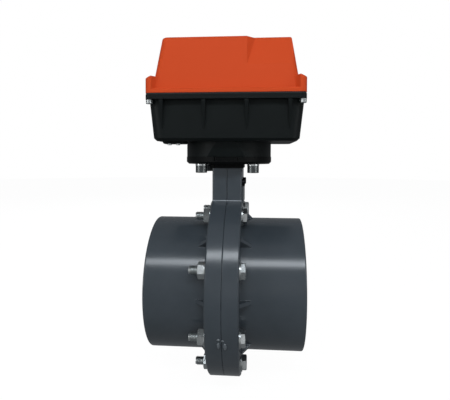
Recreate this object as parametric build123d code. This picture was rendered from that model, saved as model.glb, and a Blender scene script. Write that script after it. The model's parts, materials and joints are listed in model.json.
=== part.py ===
from build123d import *
import math
import os

# Electrically driven butterfly valve with two solvent-cement sockets, in millimetres.
# Frame: origin where the pipe axis crosses the stem axis, +X along the pipe from
# inlet to outlet, +Z up the stem to the actuator, +Y to the rear of the valve.

# ---- Valve body: pipe side ----------------------------------------------------
PIPE_R = 80.0                 # outside radius of the pipe that is glued in
SOCKET_CLEARANCE = 0.15       # radial room for the cement
SOCKET_DEPTH = 86.0
SOCKET_WALL = 13.65
SOCKET_STOP = 19.5            # X of the shoulder that the pipe end meets
MOUTH_LEAD = 2.0              # chamfer at the mouth of the socket
MOUTH_ROUND = 1.6
HALF_LENGTH = SOCKET_STOP + SOCKET_DEPTH
SOCKET_R = PIPE_R + SOCKET_CLEARANCE
BODY_R = SOCKET_R + SOCKET_WALL
LINER_R = PIPE_R - 5.0        # bore of the seat
FLOW_R = LINER_R + 0.5        # clear way between the two sockets

# ---- Valve body: clamping ring ------------------------------------------------
RING_R = BODY_R + 34.5
RING_HALF = SOCKET_STOP + 1.7  # half the ring's thickness
RING_BEVEL = 1.6
BOLT_COUNT = 8
BOLT_CIRCLE_R = BODY_R + 17.1
SEAM_WIDTH = 1.0
SEAM_DEPTH = 0.9
GUSSET_REACH = 14.5
GUSSET_THICK = 5.0

# ---- Valve body: neck ---------------------------------------------------------
NECK_HALF_X = RING_HALF - 0.5
NECK_HALF_Y = 37.0
NECK_ROUND = 3.0
NECK_TOP = RING_R + 46.1
PAD_THICK = 2.0               # raised pad on the outlet side of the neck
PAD_HALF_Y = NECK_HALF_Y - 8.0
PAD_TOP = RING_R + 14.0
NECK_SCREW_Z = PAD_TOP + 6.0
NECK_SCREW_Y = NECK_HALF_Y - 12.0

# ---- Stem, disc and liner -----------------------------------------------------
STEM_R = 11.0
STEM_BOTTOM = -(BODY_R + 17.85)
SQUARE_FLATS = 2 * STEM_R - 5.0  # across the flats of the stem's square end
SQUARE_LENGTH = 22.0
BUSH_WALL = 3.0
BUSH_R = STEM_R + BUSH_WALL
LOWER_BUSH_LENGTH = 20.0
THRUST_THICK = 2.0
LINER_HALF = SOCKET_STOP - 2.5
LINER_WALL = 14.5
LINER_OUTER_R = LINER_R + LINER_WALL
DISC_GAP = 0.3                # between the disc's edge and the liner
DISC_RIM_HALF = 5.5
DISC_R = LINER_R - DISC_GAP
DISC_CROWN = 11.0
HUB_R = STEM_R + 6.0
PIN_R = 4.0
PIN_Z = LINER_R - 37.0
SEAL_R = 0.95                 # section radius of the stem's sealing rings

# ---- Mounting plate and its screws --------------------------------------------
FLANGE_CIRCLE_R = 51.0        # ISO 5211 size F10
FLANGE_SCREW_R = 5.0
FLANGE_SCREW_GRIP = 15.5      # length of thread inside the actuator
PLATE_R = FLANGE_CIRCLE_R + 11.0
PLATE_THICK = 10.1
PLATE_BEVEL = 3.0
COLLAR_DROP = 5.8
COLLAR_WALL_X = 1.7
COLLAR_WALL_Y = 2.2

# ---- Actuator housing ---------------------------------------------------------
PAD_R = PLATE_R - 0.5
PAD_HEIGHT = 20.9
BASE_HALF_X = 97.0            # at the underside
BASE_DRAFT = 6.0              # growth of each side wall up to the flange
BASE_HALF_Y = 73.0
BASE_CORNER = 15.0
BASE_DEPTH = 59.9             # from the underside to the top of the flange
BASE_WALL = 5.0
BASE_FLOOR = 6.0
BASE_BEVEL = 3.5
FLANGE_HALF_X = BASE_HALF_X + BASE_DRAFT + 1.5
FLANGE_HALF_Y = BASE_HALF_Y + 8.4
FLANGE_CORNER = 7.0
FLANGE_THICK = 6.3
RIB_WIDTH = 5.6               # at the flange
RIB_TIP_WIDTH = 1.6
RIB_PROUD = 7.0
RIB_X = (27.8, BASE_HALF_X - 13.6)
RIB_DROP = BASE_DEPTH - 21.0
GASKET_THICK = 1.8
COVER_SCREW_X = FLANGE_HALF_X - 4.5
COVER_SCREW_Y = FLANGE_HALF_Y - 7.4
COVER_SCREW_R = 2.5

# ---- Actuator cover -----------------------------------------------------------
LIP_HEIGHT = 5.9
COVER_FOOT_X = FLANGE_HALF_X - 7.0
COVER_FOOT_Y = BASE_HALF_Y + 1.0
COVER_CROWN_X = COVER_FOOT_X - 11.7
COVER_CROWN_Y = COVER_FOOT_Y - 9.0
COVER_RISE = 69.8             # from the top of the lip to the top of the cover
COVER_WALL = 4.0
COVER_CORNER = 9.0
COVER_ROUND = 3.5
EAR_INNER_X = COVER_SCREW_X - 4.4  # at the front; the inner side slants inwards
EAR_SLANT = 4.6
EAR_BACK_Y = COVER_SCREW_Y - 16.0
EAR_RISE = 16.0
EAR_FALL = 4.1
LEAN_START = 31.5             # height above the lip where the front leans back
LEAN_SET = 10.0               # how far the lean has gone back at the top
CREASE_X = 28.0
CREASE_RUN = 10.4

# ---- Gear train ---------------------------------------------------------------
OUTPUT_TEETH = 56
PINION_TEETH = 14
INTERMEDIATE_TEETH = 56
OVERRIDE_TEETH = 40
OUTPUT_MODULE = 1.5
INTERMEDIATE_MODULE = 1.0
MOTOR_MODULE = 0.8
PRESSURE_ANGLE = math.radians(20)
ADDENDUM = 0.8                # share of the module
DEDENDUM = 1.1
BACKLASH = 0.12               # taken off each tooth's thickness, share of the module
INTERMEDIATE_ANGLE = math.radians(197.75)
OVERRIDE_ANGLE = math.radians(233.1)
MOTOR_ANGLE = math.radians(16.0)
SLEEVE_R = STEM_R + 9.0
SLEEVE_NECK_R = STEM_R + 5.0
SPINDLE_R = 8.0
GEAR_SHAFT_R = 4.0

# ---- Fits ---------------------------------------------------------------------
RUN_FIT = 0.06                # radial clearance of a turning pair
SEAT_FIT = 0.05               # radial clearance of a pair that stays put
CLEAR_FIT = 0.5               # radial clearance of a bolt hole

# ---- Heights worked out from the sizes above ----------------------------------
PLATE_TOP = NECK_TOP + PLATE_THICK
BASE_BOTTOM = PLATE_TOP + PAD_HEIGHT
FLOOR_TOP = BASE_BOTTOM + BASE_FLOOR
FLANGE_TOP = BASE_BOTTOM + BASE_DEPTH
FLANGE_BOTTOM = FLANGE_TOP - FLANGE_THICK
COVER_BOTTOM = FLANGE_TOP + GASKET_THICK
LIP_TOP = COVER_BOTTOM + LIP_HEIGHT
COVER_TOP = LIP_TOP + COVER_RISE
GEAR_LOW = FLOOR_TOP + 4.0    # underside of the output gear
GEAR_FACE = 12.0
WHEEL_LOW = GEAR_LOW + GEAR_FACE + 2.0
WHEEL_FACE = 7.0
MOTOR_STAGE_LOW = WHEEL_LOW + WHEEL_FACE + 2.0
MOTOR_STAGE_FACE = 6.0
GEARBOX_LID_LOW = MOTOR_STAGE_LOW + MOTOR_STAGE_FACE + 2.8
GEARBOX_LID_THICK = 3.0
GEARBOX_LID_TOP = GEARBOX_LID_LOW + GEARBOX_LID_THICK


# ---- Plain shapes -------------------------------------------------------------
def rod(radius, low, high, x=0.0, y=0.0):
    return Pos(x, y, (low + high) / 2) * Cylinder(radius, high - low)


def tube(outer, inner, low, high, x=0.0, y=0.0):
    return rod(outer, low, high, x, y) - rod(inner, low - 1, high + 1, x, y)


def block(x_low, x_high, y_low, y_high, z_low, z_high):
    size = Box(x_high - x_low, y_high - y_low, z_high - z_low)
    return Pos((x_low + x_high) / 2, (y_low + y_high) / 2, (z_low + z_high) / 2) * size


def rounded_block(half_x, half_y, corner, low, high, x=0.0, y=0.0):
    outline = Pos(x, y, low) * RectangleRounded(2 * half_x, 2 * half_y, corner)
    return extrude(outline, high - low)


def hexagon(flats, low, high):
    outline = Pos(0, 0, low) * RegularPolygon(flats / 2, 6, major_radius=False)
    return extrude(outline, high - low)


def prism(points, plane, width):
    """A flat outline in the given plane, thickened evenly to both sides."""
    outline = make_face(plane * Polyline(*points, close=True))
    return extrude(outline, width / 2, both=True)


def along_x(shape, y=0.0, z=0.0):
    """Lays a shape made along +Z down along +X."""
    return Pos(0, y, z) * Rot(0, 90, 0) * shape


def along_y(shape, x=0.0, z=0.0):
    """Lays a shape made along +Z down along +Y."""
    return Pos(x, 0, z) * Rot(-90, 0, 0) * shape


def group(shapes):
    return Compound(children=list(shapes))


def bolt_places():
    """The eight bolts stand half a pitch away from the stem."""
    pitch = 360 / BOLT_COUNT
    for number in range(BOLT_COUNT):
        angle = math.radians(pitch * (number + 0.5))
        yield number, BOLT_CIRCLE_R * math.cos(angle), BOLT_CIRCLE_R * math.sin(angle)


def corners(half_x, half_y):
    return [(sx * half_x, sy * half_y) for sx in (-1, 1) for sy in (-1, 1)]


# ---- Valve body ---------------------------------------------------------------
BOLT_R = 6.0
BOLT_HEAD = 6.0
BOLT_FLATS = 19.0
NUT_HEIGHT = 8.5
WASHER_R = 12.0
WASHER_THICK = 1.6
THREAD_SHOWN = 11.5
NECK_SCREW_R = 3.0
PLATE_SCREW_R = 3.0
PLATE_SCREW_X = 11.0
PLATE_SCREW_Y = NECK_HALF_Y - 9.0
PLATE_SCREW_LENGTH = 28.0


def body_outline():
    """Half section of both halves together, as (x, radius)."""
    right = [
        (SEAM_WIDTH / 2, RING_R),
        (RING_HALF - RING_BEVEL, RING_R),
        (RING_HALF, RING_R - RING_BEVEL),
        (RING_HALF, BODY_R),
        (HALF_LENGTH - MOUTH_ROUND, BODY_R),
        (HALF_LENGTH - 0.3 * MOUTH_ROUND, BODY_R - 0.3 * MOUTH_ROUND),
        (HALF_LENGTH, BODY_R - MOUTH_ROUND),
        (HALF_LENGTH, SOCKET_R + MOUTH_LEAD),
        (HALF_LENGTH - MOUTH_LEAD, SOCKET_R),
        (SOCKET_STOP, SOCKET_R),
        (SOCKET_STOP, FLOW_R),
        (LINER_HALF, FLOW_R),
        (LINER_HALF, LINER_OUTER_R),
    ]
    left = [(-x, r) for x, r in reversed(right)]
    return [(0, RING_R - SEAM_DEPTH), *right, *left]


def gussets():
    """Small triangular webs between the ring and each socket."""
    base = BODY_R - 2
    outline = [
        (RING_HALF - 1, base),
        (RING_HALF + GUSSET_REACH, base),
        (RING_HALF + GUSSET_REACH, BODY_R),
        (RING_HALF, BODY_R + GUSSET_REACH),
        (RING_HALF - 1, BODY_R + GUSSET_REACH),
    ]
    web = prism(outline, Plane.XY, GUSSET_THICK)
    both = web + mirror(web, Plane.YZ)
    for number in range(BOLT_COUNT):
        yield Rot(360 / BOLT_COUNT * number, 0, 0) * both


def whole_body():
    profile = make_face(Polyline(*body_outline(), close=True))
    body = revolve(profile, Axis.X, 360)
    body += rounded_block(NECK_HALF_X, NECK_HALF_Y, NECK_ROUND, BODY_R + 6, NECK_TOP)
    pad_low = RING_R - 9
    body += block(0, NECK_HALF_X + PAD_THICK, -PAD_HALF_Y, PAD_HALF_Y, pad_low, PAD_TOP)
    for web in gussets():
        body += web
    body -= rod(BUSH_R + SEAT_FIT, LINER_R, NECK_TOP + 1)
    body -= rod(BUSH_R + SEAT_FIT, STEM_BOTTOM - THRUST_THICK - 0.3, -LINER_R)
    for number, y, z in bolt_places():
        body -= along_x(rod(BOLT_R + CLEAR_FIT, -RING_HALF - 1, RING_HALF + 1), y, z)
    seam = SEAM_WIDTH / 2
    neck_foot = math.sqrt(RING_R ** 2 - NECK_HALF_Y ** 2)
    for side in (-1, 1):
        y_out = side * (NECK_HALF_Y + 1)
        y_in = side * (NECK_HALF_Y - SEAM_DEPTH)
        low, high = min(y_in, y_out), max(y_in, y_out)
        body -= block(-seam, seam, low, high, neck_foot, NECK_TOP - COLLAR_DROP)
        y = side * NECK_SCREW_Y
        hole = NECK_SCREW_R + CLEAR_FIT
        body -= along_x(rod(hole, 0, NECK_HALF_X + PAD_THICK + 1), y, NECK_SCREW_Z)
        pilot = NECK_SCREW_R + SEAT_FIT
        body -= along_x(rod(pilot, -NECK_HALF_X + 3, 0), y, NECK_SCREW_Z)
    for x, y in corners(PLATE_SCREW_X, PLATE_SCREW_Y):
        low = PLATE_TOP - PLATE_SCREW_LENGTH - 2
        body -= rod(PLATE_SCREW_R + SEAT_FIT, low, NECK_TOP + 1, x, y)
    return body


def body_halves(body):
    far = 2 * RING_R
    inlet = body & block(-far, 0, -far, far, -far, far)
    outlet = body & block(0, far, -far, far, -far, far)
    return inlet, outlet


def seat_liner():
    gap = SEAT_FIT
    ring = tube(LINER_OUTER_R - gap, LINER_R, gap - LINER_HALF, LINER_HALF - gap)
    ring = along_x(ring)
    return ring - rod(STEM_R + DISC_GAP, -RING_R, RING_R)


# ---- Moving parts of the valve ------------------------------------------------
def disc():
    """Crowned disc with a ball-shaped edge, so that it stays clear as it turns."""
    right = [
        (DISC_CROWN, 0),
        (DISC_CROWN - 1.5, 0.45 * DISC_R),
        (DISC_RIM_HALF, 0.85 * DISC_R),
        (DISC_RIM_HALF, DISC_R + 2),
    ]
    left = [(-x, r) for x, r in reversed(right)]
    plate = revolve(make_face(Polyline(*right, *left, close=True)), Axis.X, 360)
    plate += rod(HUB_R, -DISC_R, DISC_R)
    plate &= Sphere(DISC_R)
    plate -= rod(STEM_R + SEAT_FIT, -RING_R, RING_R)
    for z in (-PIN_Z, PIN_Z):
        plate -= along_x(rod(PIN_R + SEAT_FIT, -HUB_R - 1, HUB_R + 1), 0, z)
    return plate


def disc_pins():
    length = HUB_R - 0.5
    return group(along_x(rod(PIN_R, -length, length), 0, z) for z in (-PIN_Z, PIN_Z))


def stem():
    """Round stem with a square driving end."""
    shoulder = PLATE_TOP + 2
    bar = rod(STEM_R, STEM_BOTTOM, shoulder)
    half = SQUARE_FLATS / 2
    square = block(-half, half, -half, half, shoulder - 1, shoulder + SQUARE_LENGTH)
    bar += square & rod(STEM_R, shoulder - 1, shoulder + SQUARE_LENGTH)
    for z in (-PIN_Z, PIN_Z):
        bar -= along_x(rod(PIN_R + SEAT_FIT, -STEM_R - 1, STEM_R + 1), 0, z)
    return bar


UPPER_BUSH_LOW = LINER_OUTER_R + 1
UPPER_BUSH_HIGH = NECK_TOP - 3
LOWER_BUSH_LOW = STEM_BOTTOM + 1
UPPER_SEALS = (UPPER_BUSH_HIGH - 16, UPPER_BUSH_HIGH - 8)
LOWER_SEAL = LOWER_BUSH_LOW + 0.6 * LOWER_BUSH_LENGTH


def grooved_bush(low, high, seal_heights):
    bush = tube(BUSH_R, STEM_R + RUN_FIT, low, high)
    depth = STEM_R + 2 * SEAL_R + 0.45
    for z in seal_heights:
        bush -= rod(depth, z - 1.3 * SEAL_R, z + 1.3 * SEAL_R)
    return bush


def stem_seals():
    middle = STEM_R + SEAL_R + 0.3
    heights = (*UPPER_SEALS, LOWER_SEAL)
    return group(Pos(0, 0, z) * Torus(middle, SEAL_R) for z in heights)


def thrust_washer():
    return rod(BUSH_R - 0.5, STEM_BOTTOM - THRUST_THICK - 0.1, STEM_BOTTOM - 0.1)


# ---- Body fasteners -----------------------------------------------------------
def body_bolt():
    head = RING_HALF + WASHER_THICK
    shank_end = -(head + NUT_HEIGHT + THREAD_SHOWN)
    shank = chamfer(rod(BOLT_R, shank_end, head + 1).edges().sort_by(Axis.Z)[0], 1.0)
    cap = hexagon(BOLT_FLATS, head, head + BOLT_HEAD)
    cap &= Pos(0, 0, head) * Cone(14.5, 9.0, 11, align=(Align.CENTER, Align.CENTER, Align.MIN))
    return shank + cap


def body_nut():
    face = RING_HALF + WASHER_THICK
    nut = hexagon(BOLT_FLATS, -face - NUT_HEIGHT, -face)
    dome = Cone(9.0, 14.5, 11, align=(Align.CENTER, Align.CENTER, Align.MIN))
    nut &= Pos(0, 0, -face - NUT_HEIGHT) * dome
    return nut - rod(BOLT_R + SEAT_FIT, -face - NUT_HEIGHT - 1, -face + 1)


def washer(near, far):
    return tube(WASHER_R, BOLT_R + 0.4, near, far)


def ring_of(shape, turn=0.0):
    """Copies a fastener to each place on the bolt circle, each turned differently."""
    for number, y, z in bolt_places():
        yield along_x(Rot(0, 0, turn * number) * shape, y, z)


def neck_screws():
    face = NECK_HALF_X
    screw = rod(NECK_SCREW_R, -NECK_HALF_X + 5, face + 1)
    head = hexagon(10.0, face, face + 4.0)
    head -= hexagon(5.0, face + 1.5, face + 5.0)
    return group(along_x(screw + head, s * NECK_SCREW_Y, NECK_SCREW_Z) for s in (-1, 1))


# ---- Mounting plate -----------------------------------------------------------
def mounting_plate():
    plate = rod(PLATE_R, NECK_TOP, PLATE_TOP)
    plate = chamfer(plate.edges().sort_by(Axis.Z)[0], PLATE_BEVEL)
    half_x = NECK_HALF_X + COLLAR_WALL_X
    half_y = NECK_HALF_Y + COLLAR_WALL_Y
    plate += rounded_block(half_x, half_y, NECK_ROUND + 1, NECK_TOP - COLLAR_DROP, NECK_TOP + 1)
    neck_x = NECK_HALF_X + SEAT_FIT
    neck_y = NECK_HALF_Y + SEAT_FIT
    plate -= rounded_block(neck_x, neck_y, NECK_ROUND, NECK_TOP - COLLAR_DROP - 1, NECK_TOP)
    plate -= rod(BUSH_R, NECK_TOP - 1, PLATE_TOP + 1)
    for x, y in corners(*[FLANGE_CIRCLE_R / math.sqrt(2)] * 2):
        plate -= rod(FLANGE_SCREW_R + CLEAR_FIT, NECK_TOP - 1, PLATE_TOP + 1, x, y)
    for x, y in corners(PLATE_SCREW_X, PLATE_SCREW_Y):
        plate -= Pos(x, y, 0) * plate_screw(SEAT_FIT, 1.0)
    # A shallow pocket in the middle of the front edge, under the pad's facet.
    plate -= rounded_block(16.0, 6.0, 4.0, NECK_TOP + 4.5, PLATE_TOP + 1, 0, -PLATE_R + 1)
    return plate


def plate_screw(grow=0.0, rise=0.0):
    """Countersunk screw, or with grow and rise the hole that it sits in."""
    top = PLATE_TOP - 0.3
    cone = 3.3
    shank = rod(PLATE_SCREW_R + grow, PLATE_TOP - PLATE_SCREW_LENGTH, top - 1)
    head = Pos(0, 0, top - cone) * Cone(
        PLATE_SCREW_R + grow, PLATE_SCREW_R + grow + cone, cone,
        align=(Align.CENTER, Align.CENTER, Align.MIN))
    screw = shank + head
    if rise:
        screw += rod(PLATE_SCREW_R + grow + cone, top, top + rise)
    else:
        screw -= hexagon(4.0, top - 2, top + 1)
    return screw


FLANGE_SCREW_HEAD_R = 8.0
FLANGE_SCREW_HEAD = 10.0
SPRING_WASHER_THICK = 2.2


def flange_screw():
    """Socket-head screw that hangs under the plate, head down."""
    seat = NECK_TOP - SPRING_WASHER_THICK
    head = rod(FLANGE_SCREW_HEAD_R, seat - FLANGE_SCREW_HEAD, seat)
    head = chamfer(head.edges().sort_by(Axis.Z)[0], 0.8)
    screw = head + rod(FLANGE_SCREW_R, seat - 1, PLATE_TOP + FLANGE_SCREW_GRIP - 1)
    return screw - hexagon(8.0, seat - FLANGE_SCREW_HEAD - 1, seat - FLANGE_SCREW_HEAD + 5)


def spring_washer():
    low = NECK_TOP - SPRING_WASHER_THICK
    ring = tube(FLANGE_SCREW_HEAD_R + 0.3, FLANGE_SCREW_R + 0.3, low, NECK_TOP)
    return ring - Rot(0, 0, 30) * block(4, 10, -0.6, 0.6, low - 1, NECK_TOP + 1)


def at_flange_holes(shape):
    spread = FLANGE_CIRCLE_R / math.sqrt(2)
    return group(Pos(x, y, 0) * shape for x, y in corners(spread, spread))


# ---- Gear positions -----------------------------------------------------------
def step_from(start, reach, angle):
    return start[0] + reach * math.cos(angle), start[1] + reach * math.sin(angle)


OUTPUT_AT = (0.0, 0.0)
INTERMEDIATE_AT = step_from(
    OUTPUT_AT, OUTPUT_MODULE * (OUTPUT_TEETH + PINION_TEETH) / 2, INTERMEDIATE_ANGLE)
OVERRIDE_AT = step_from(
    INTERMEDIATE_AT, INTERMEDIATE_MODULE * (INTERMEDIATE_TEETH + PINION_TEETH) / 2,
    OVERRIDE_ANGLE)
MOTOR_AT = step_from(
    OVERRIDE_AT, MOTOR_MODULE * (OVERRIDE_TEETH + PINION_TEETH) / 2, MOTOR_ANGLE)

# ---- Actuator housing ---------------------------------------------------------
OUTPUT_BUSH_WALL = 3.0
GLAND_R = 10.0
GLAND_Z = BASE_BOTTOM + 29.0
GLAND_X = BASE_HALF_X - 40.0
PLUG_X = 0.0
CAP_HALF_X = 15.5
CAP_HALF_Y = 16.0
CAP_PROUD = 3.6
CAP_SCREW_R = 1.5
CAP_SCREW_SPREAD = 5.9
CAP_SCREW_Y = 11.5
BOARD_SPREAD_X = 17.0
BOARD_SPREAD_Y = 48.0
BOARD_X = BASE_HALF_X - 30.0
BOARD_Z = COVER_BOTTOM - 4
PILLARS = ((-84.0, 6.0), (-34.0, 48.0), (25.0, 43.0), (-12.0, -57.0))
PILLAR_R = 4.0


def housing_ribs():
    """Webs that taper both ways from the flange down the front and back walls."""
    low, high = FLANGE_BOTTOM - RIB_DROP, FLANGE_BOTTOM + 1
    side = [(BASE_HALF_Y - 2, low), (BASE_HALF_Y, low), (BASE_HALF_Y + RIB_PROUD, FLANGE_BOTTOM - 3),
            (BASE_HALF_Y + RIB_PROUD, high), (BASE_HALF_Y - 2, high)]
    front = [(-RIB_TIP_WIDTH / 2, low), (RIB_TIP_WIDTH / 2, low),
             (RIB_WIDTH / 2, high), (-RIB_WIDTH / 2, high)]
    web = prism(side, Plane.YZ, RIB_WIDTH) & prism(front, Plane.XZ, 3 * BASE_HALF_Y)
    both = web + mirror(web, Plane.XZ)
    for x in RIB_X:
        for sx in (-1, 1):
            yield Pos(sx * x, 0, 0) * both


def drafted_box(shrink, low, high):
    """The housing between two heights, its side walls leaning out, set in by shrink."""
    def outline(z):
        draft = BASE_DRAFT * (z - BASE_BOTTOM) / (FLANGE_BOTTOM - BASE_BOTTOM)
        half_x = BASE_HALF_X + draft - shrink
        half_y = BASE_HALF_Y - shrink
        return Pos(0, 0, z) * RectangleRounded(2 * half_x, 2 * half_y, BASE_CORNER - shrink)
    return loft([outline(low), outline(high)], ruled=True)


def actuator_base():
    base = drafted_box(0, BASE_BOTTOM, FLANGE_BOTTOM + 1)
    base = chamfer(base.faces().sort_by(Axis.Z)[0].edges(), BASE_BEVEL)
    flange = rounded_block(
        FLANGE_HALF_X, FLANGE_HALF_Y, FLANGE_CORNER, FLANGE_BOTTOM, FLANGE_TOP)
    base += flange
    pad = rod(PAD_R, PLATE_TOP, BASE_BOTTOM + 1)
    # The front of the pad is planed off at a slant.
    facet_y = -0.906 * PAD_R
    facet = [(facet_y, PLATE_TOP - 1), (-PAD_R - 2, PLATE_TOP - 1),
             (-PAD_R - 2, BASE_BOTTOM), (facet_y - 0.24 * PAD_HEIGHT, BASE_BOTTOM)]
    pad -= prism(facet, Plane.YZ, 2 * PAD_R)
    base += pad
    for web in housing_ribs():
        base += web
    base -= drafted_box(BASE_WALL, FLOOR_TOP, FLANGE_TOP + 1)
    base -= rod(SLEEVE_R + OUTPUT_BUSH_WALL + SEAT_FIT, PLATE_TOP - 1, FLOOR_TOP + 1)
    for x, y in corners(*[FLANGE_CIRCLE_R / math.sqrt(2)] * 2):
        top = PLATE_TOP + FLANGE_SCREW_GRIP
        base -= rod(FLANGE_SCREW_R + SEAT_FIT, PLATE_TOP - 1, top, x, y)
    for x, y in corners(COVER_SCREW_X, COVER_SCREW_Y):
        base -= rod(COVER_SCREW_R + 0.25, FLANGE_BOTTOM - 8, FLANGE_TOP + 1, x, y)
    base -= rod(GEAR_SHAFT_R + SEAT_FIT, FLOOR_TOP - 4, FLOOR_TOP + 1, *INTERMEDIATE_AT)
    base -= rod(GEAR_SHAFT_R + RUN_FIT, BASE_BOTTOM - 1, FLOOR_TOP + 1, *OVERRIDE_AT)
    for sx in (-1, 1):
        x = OVERRIDE_AT[0] + sx * CAP_SCREW_SPREAD
        y = OVERRIDE_AT[1] - CAP_SCREW_Y
        base -= rod(CAP_SCREW_R + SEAT_FIT, BASE_BOTTOM - 1, FLOOR_TOP - 1.5, x, y)
    for x in (GLAND_X, PLUG_X):
        hole = rod(GLAND_R, BASE_HALF_Y - BASE_WALL - 1, BASE_HALF_Y + 1)
        base -= along_y(hole, x, GLAND_Z)
    return base


def cover_gasket():
    edge = 0.6
    gasket = rounded_block(
        FLANGE_HALF_X - edge, FLANGE_HALF_Y - edge, FLANGE_CORNER - edge,
        FLANGE_TOP, COVER_BOTTOM)
    inner = (COVER_FOOT_X - COVER_WALL + 1, BASE_HALF_Y - BASE_WALL)
    gasket -= rounded_block(*inner, BASE_CORNER - BASE_WALL, FLANGE_TOP - 1, COVER_BOTTOM + 1)
    for x, y in corners(COVER_SCREW_X, COVER_SCREW_Y):
        gasket -= rod(COVER_SCREW_R + 0.25, FLANGE_TOP - 1, COVER_BOTTOM + 1, x, y)
    return gasket


# ---- Actuator cover -----------------------------------------------------------
WINDOW_R = 24.0


def tapered_hood(shrink, low, high):
    """The hood between two heights, set in by shrink on every side."""
    def outline(z):
        share = (z - LIP_TOP) / COVER_RISE
        half_x = COVER_FOOT_X + (COVER_CROWN_X - COVER_FOOT_X) * share - shrink
        half_y = COVER_FOOT_Y + (COVER_CROWN_Y - COVER_FOOT_Y) * share - shrink
        return Pos(0, 0, z) * RectangleRounded(2 * half_x, 2 * half_y, COVER_CORNER - shrink)
    return loft([outline(low), outline(high)], ruled=True)


def front_wall_y(z):
    share = (z - LIP_TOP) / COVER_RISE
    return -(COVER_FOOT_Y + (COVER_CROWN_Y - COVER_FOOT_Y) * share)


def lean_cutter(inward):
    """Space in front of the leaning part of the front wall, moved in by the wall."""
    start = LIP_TOP + LEAN_START
    wall_low = Vector(CREASE_X, front_wall_y(start) + inward, start)
    wall_high = Vector(CREASE_X, front_wall_y(COVER_TOP) + inward, COVER_TOP)
    lean_high = wall_high + Vector(CREASE_RUN, LEAN_SET, 0)
    lean_normal = Vector(1, 0, 0).cross(lean_high - wall_low)
    crease_normal = (wall_high - wall_low).cross(lean_high - wall_low)
    size = 400
    if lean_normal.Y > 0:
        lean_normal = lean_normal * -1
    if crease_normal.Y > 0:
        crease_normal = crease_normal * -1
    lean_side = Plane(wall_low, z_dir=lean_normal) * Pos(0, 0, size / 2) * Box(size, size, size)
    crease_side = Plane(wall_low, z_dir=crease_normal) * Pos(0, 0, size / 2) * Box(size, size, size)
    return lean_side & crease_side


def ears():
    """Corner blocks over the cover's screws, sloping down to the outside."""
    high = LIP_TOP + EAR_RISE
    outer = rounded_block(
        FLANGE_HALF_X, FLANGE_HALF_Y, FLANGE_CORNER, COVER_BOTTOM + 1, high)
    slope = prism(
        [(COVER_FOOT_X - 1, high), (FLANGE_HALF_X + 1, high - EAR_FALL),
         (FLANGE_HALF_X + 1, high + 1)], Plane.XZ, 3 * FLANGE_HALF_Y)
    outer -= slope
    outer -= mirror(slope, Plane.YZ)
    x_far, y_far = FLANGE_HALF_X + 1, FLANGE_HALF_Y + 1
    x_near = EAR_INNER_X - EAR_SLANT
    plan = [(EAR_INNER_X, y_far), (EAR_INNER_X, FLANGE_HALF_Y), (x_near, COVER_FOOT_Y),
            (x_near - 8, COVER_FOOT_Y - 6), (x_near - 8, EAR_BACK_Y), (x_far, EAR_BACK_Y),
            (x_far, y_far)]
    corner = extrude(Pos(0, 0, COVER_BOTTOM) * make_face(Polyline(*plan, close=True)), high)
    right = outer & (corner + mirror(corner, Plane.XZ))
    yield right
    yield mirror(right, Plane.YZ)


def actuator_cover():
    hood = tapered_hood(0, COVER_BOTTOM + 1, COVER_TOP) - lean_cutter(0)
    hood = soften(hood, COVER_ROUND)
    lip = rounded_block(FLANGE_HALF_X, FLANGE_HALF_Y, FLANGE_CORNER, COVER_BOTTOM, LIP_TOP)
    lip = fillet(lip.faces().sort_by(Axis.Z)[-1].edges(), 2.0)
    cover = lip + hood
    for ear in ears():
        cover += ear
    hollow = tapered_hood(COVER_WALL, COVER_BOTTOM - 1, COVER_TOP - COVER_WALL)
    cover -= hollow - lean_cutter(COVER_WALL)
    cover -= rod(WINDOW_R, COVER_TOP - COVER_WALL - 1, COVER_TOP + 1)
    for x, y in corners(COVER_SCREW_X, COVER_SCREW_Y):
        cover -= rod(COVER_SCREW_R + SEAT_FIT, COVER_BOTTOM - 1, COVER_BOTTOM + 15, x, y)
    return cover


def soften(hood, radius):
    """Rounds the edges round the top of the hood."""
    top = hood.faces().sort_by(Axis.Z)[-1]
    return fillet(top.edges(), radius)


def cover_screw():
    head = rod(4.25, FLANGE_BOTTOM - 5.5, FLANGE_BOTTOM)
    head = chamfer(head.edges().sort_by(Axis.Z)[0], 0.6)
    screw = head + rod(COVER_SCREW_R, FLANGE_BOTTOM - 1, COVER_BOTTOM + 13)
    return screw - hexagon(4.0, FLANGE_BOTTOM - 7, FLANGE_BOTTOM - 3)


def position_window():
    lens = rod(WINDOW_R + 4, COVER_TOP, COVER_TOP + 2.6)
    lens = chamfer(lens.edges().sort_by(Axis.Z)[-1], 1.2)
    return lens + rod(WINDOW_R - 0.15, COVER_TOP - COVER_WALL + 0.5, COVER_TOP + 1)


# ---- Manual drive cap ---------------------------------------------------------
def override_cap():
    """Low cover plate under the housing, over the end of the hand-drive shaft."""
    x, y = OVERRIDE_AT
    low = BASE_BOTTOM - CAP_PROUD
    cap = rounded_block(CAP_HALF_X, CAP_HALF_Y, 6, low, BASE_BOTTOM, x, y)
    cap = chamfer(cap.faces().sort_by(Axis.Z)[0].edges(), 1.6)
    cap -= rod(PAD_R + 0.3, low - 1, BASE_BOTTOM + 1)
    cap -= rod(GEAR_SHAFT_R + 2, BASE_BOTTOM - 1.6, BASE_BOTTOM + 1, x, y)
    for sx in (-1, 1):
        place = (x + sx * CAP_SCREW_SPREAD, y - CAP_SCREW_Y)
        cap -= rod(CAP_SCREW_R + 0.2, low - 1, BASE_BOTTOM + 1, *place)
    return cap


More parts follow.
